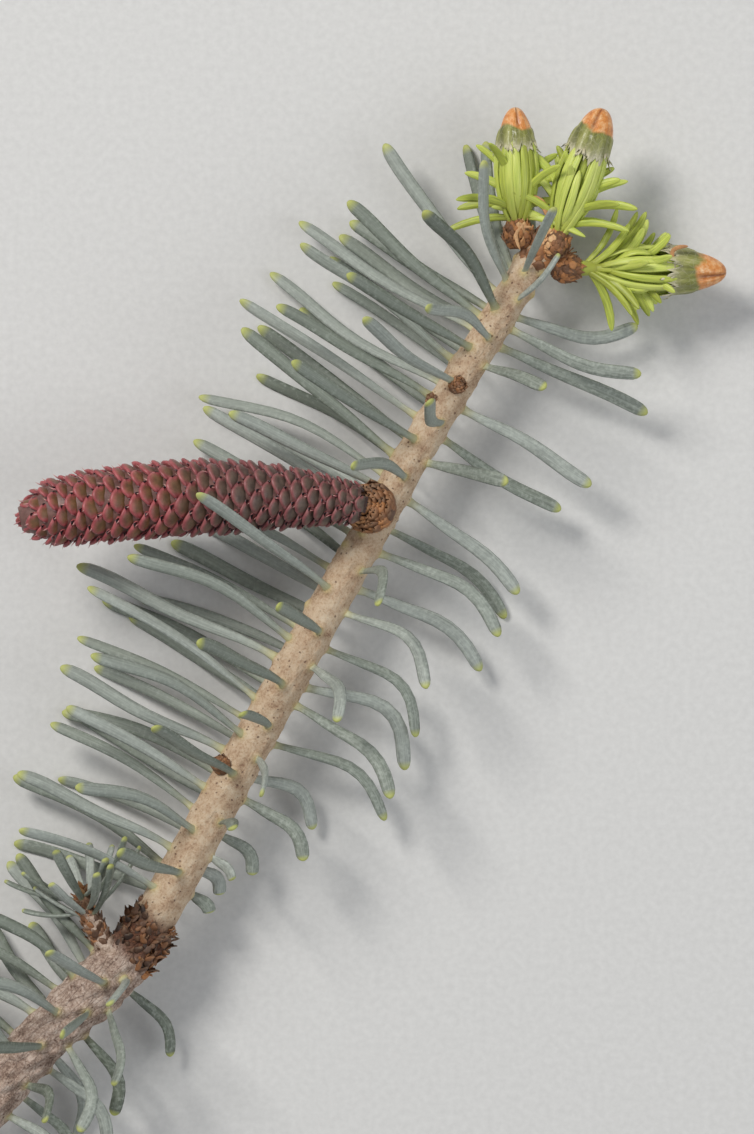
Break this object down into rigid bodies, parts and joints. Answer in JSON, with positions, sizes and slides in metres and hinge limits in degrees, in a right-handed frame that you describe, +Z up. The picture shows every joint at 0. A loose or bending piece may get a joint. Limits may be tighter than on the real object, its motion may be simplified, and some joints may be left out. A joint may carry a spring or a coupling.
{
  "type": "cut white fir branch with seed cone",
  "caption": "Cut end of a white fir branch lying on its lower needles, with blue-green needles all round, a young purple seed cone and bursting buds at the tip.",
  "frame": {"origin": "on the surface that the branch lies on, at the middle of its box", "axes": "+Z up from the surface; the branch lies in the plane of +X and +Y and its tip points between +X and +Y"},
  "size_m": [0.142, 0.1796, 0.0423],
  "materials": {
    "bark": "matt",
    "needles": "satin",
    "scales": "matt",
    "cone": "satin",
    "young_needles": "satin",
    "caps": "satin"
  },
  "bodies": {
    "root": {"stem": "bark", "seed_cone": "cone", "cone_foot": "scales", "scale_ring": "scales", "side_bud_lower": "scales", "side_bud_upper": "scales", "side_bud_small": "scales", "bud_cup_left": "scales", "young_shoot_left": "young_needles", "bud_cap_left": "caps", "bud_cup_middle": "scales", "young_shoot_middle": "young_needles", "bud_cap_middle": "caps", "bud_cup_right": "scales", "young_shoot_right": "young_needles", "bud_cap_right": "caps", "needles_old_wood_lower": "needles", "needles_old_wood_upper": "needles", "needles_spur": "needles", "needles_shoot_1": "needles", "needles_shoot_2": "needles", "needles_shoot_3": "needles", "needles_shoot_4": "needles", "needles_shoot_5": "needles", "needles_shoot_6": "needles", "needles_shoot_tip": "needles"}
  },
  "joints": []
}
